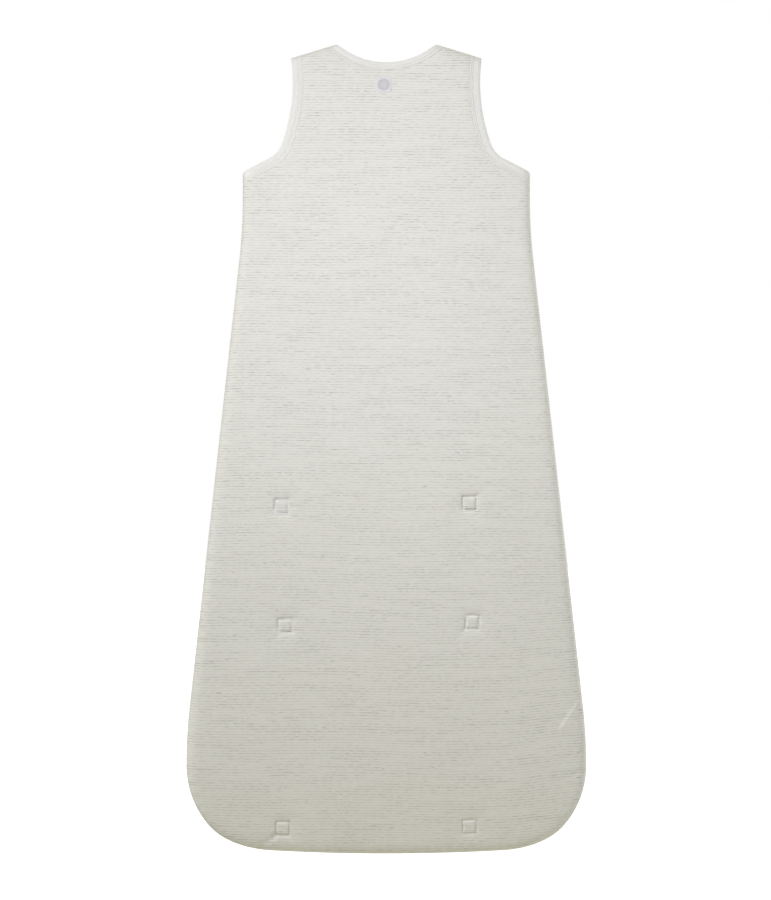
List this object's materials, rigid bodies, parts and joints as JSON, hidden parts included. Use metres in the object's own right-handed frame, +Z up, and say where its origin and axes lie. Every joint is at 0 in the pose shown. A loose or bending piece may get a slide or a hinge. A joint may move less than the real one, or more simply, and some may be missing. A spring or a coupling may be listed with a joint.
{
  "type": "baby sleeping bag",
  "caption": "Sleeveless wadded baby sleeping bag, narrow at the chest and wide at the rounded hem, with bound neck and armholes, square tacks and a centre front zip that opens two flaps.",
  "frame": {"origin": "midway between the two neck points, on the line of the shoulder seams, where the bag hangs", "axes": "+Z up towards the neck, +Y out of the zipped front, -Y out of the back, +X to the wearer's right"},
  "size_m": [0.4458, 0.0504, 0.9023],
  "materials": {
    "jersey": "matte",
    "wadding": "matte",
    "lining": "matte",
    "binding": "matte",
    "zip_tape": "matte",
    "zip_coil": "satin",
    "zip_metal": "satin",
    "label": "satin",
    "thread": "matte"
  },
  "bodies": {
    "bag": {"back_lining": "lining", "back_neck_patch": "label", "back_outer": "jersey", "back_tacks": "thread", "back_wadding": "wadding", "care_label": "label", "front_tacks": "thread", "left_armhole_binding": "binding", "left_front_lining": "lining", "left_front_outer": "jersey", "left_front_wadding": "wadding", "neck_binding": "binding", "right_armhole_binding": "binding", "right_front_lining": "lining", "right_front_outer": "jersey", "right_front_wadding": "wadding", "size_label": "label", "zip_bottom_stop": "zip_metal", "zip_coil_ends": "zip_coil", "zip_tape_ends": "zip_tape"},
    "left_flap": {"left_flap_lining": "lining", "left_flap_neck_binding": "binding", "left_flap_outer": "jersey", "left_flap_wadding": "wadding", "left_zip_coil": "zip_coil", "left_zip_tape": "zip_tape", "left_zip_top_stop": "zip_metal"},
    "right_flap": {"right_flap_lining": "lining", "right_flap_neck_binding": "binding", "right_flap_outer": "jersey", "right_flap_wadding": "wadding", "right_zip_coil": "zip_coil", "right_zip_tape": "zip_tape", "right_zip_top_stop": "zip_metal"},
    "slider": {"zip_slider": "zip_metal"},
    "pull": {"zip_pull_tab": "zip_metal"}
  },
  "joints": [
    {"name": "zip_slider_travel", "type": "slide", "parent": "bag", "child": "slider", "axis": [0, 0.0111, -0.9999], "range_m": [0, 0.69]},
    {"name": "right_flap_fold", "type": "hinge", "parent": "bag", "child": "right_flap", "pos_m": [0.05, 0.01718, -0.03398], "axis": [-0.0475, 0.0111, -0.9988], "range_deg": [0, 150]},
    {"name": "left_flap_fold", "type": "hinge", "parent": "bag", "child": "left_flap", "pos_m": [-0.05, 0.01718, -0.03398], "axis": [-0.0475, -0.0111, 0.9988], "range_deg": [0, 150]},
    {"name": "zip_pull_swing", "type": "hinge", "parent": "slider", "child": "pull", "pos_m": [0, 0.01901, -0.08196], "axis": [1, 0, 0], "range_deg": [0, 170]}
  ],
  "couplings": [
    {"joint": "right_flap_fold", "follows": "zip_slider_travel", "rad_per_m": 3.79},
    {"joint": "left_flap_fold", "follows": "zip_slider_travel", "rad_per_m": 3.79}
  ]
}
